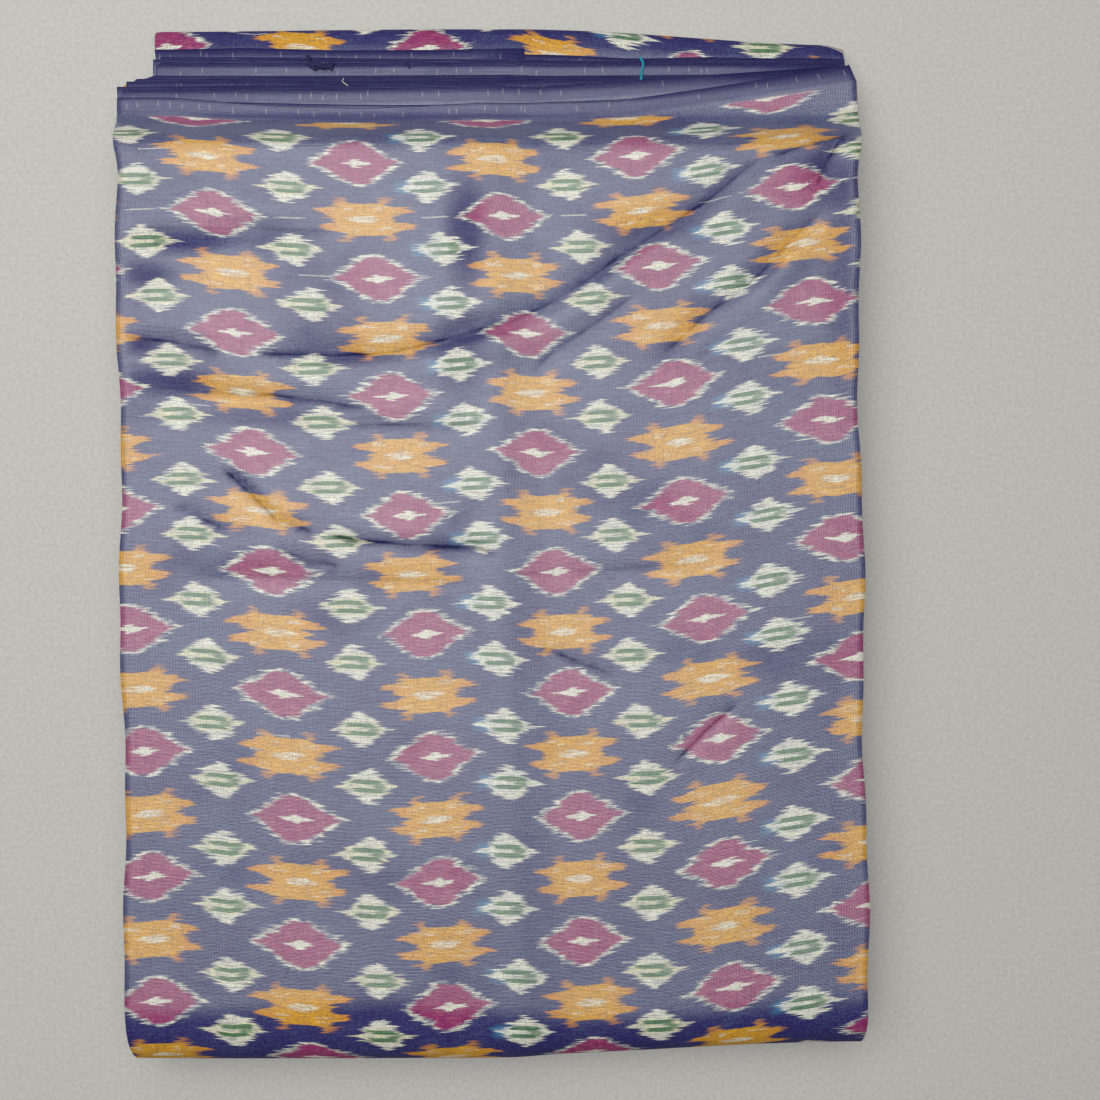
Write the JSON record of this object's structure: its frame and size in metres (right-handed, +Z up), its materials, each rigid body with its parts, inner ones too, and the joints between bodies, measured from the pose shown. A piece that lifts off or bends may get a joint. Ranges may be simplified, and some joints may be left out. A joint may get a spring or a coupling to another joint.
{
  "type": "folded ikat woven cloth",
  "caption": "Flat folded pack of warp ikat cotton: a zigzagged length doubled twice across its width, with selvedges stepped along one end.",
  "frame": {"origin": "on the surface the pack lies on, under the middle of its box", "axes": "+X along the warp, +Y across the width towards the stepped selvedges, +Z up through the layers"},
  "size_m": [0.211, 0.2946, 0.0213],
  "materials": {
    "ikat_cotton": "plain woven cotton with tie-dyed warp, a soft broad gloss"
  },
  "bodies": {
    "root": {"ikat_cloth": "ikat_cotton"}
  },
  "joints": []
}
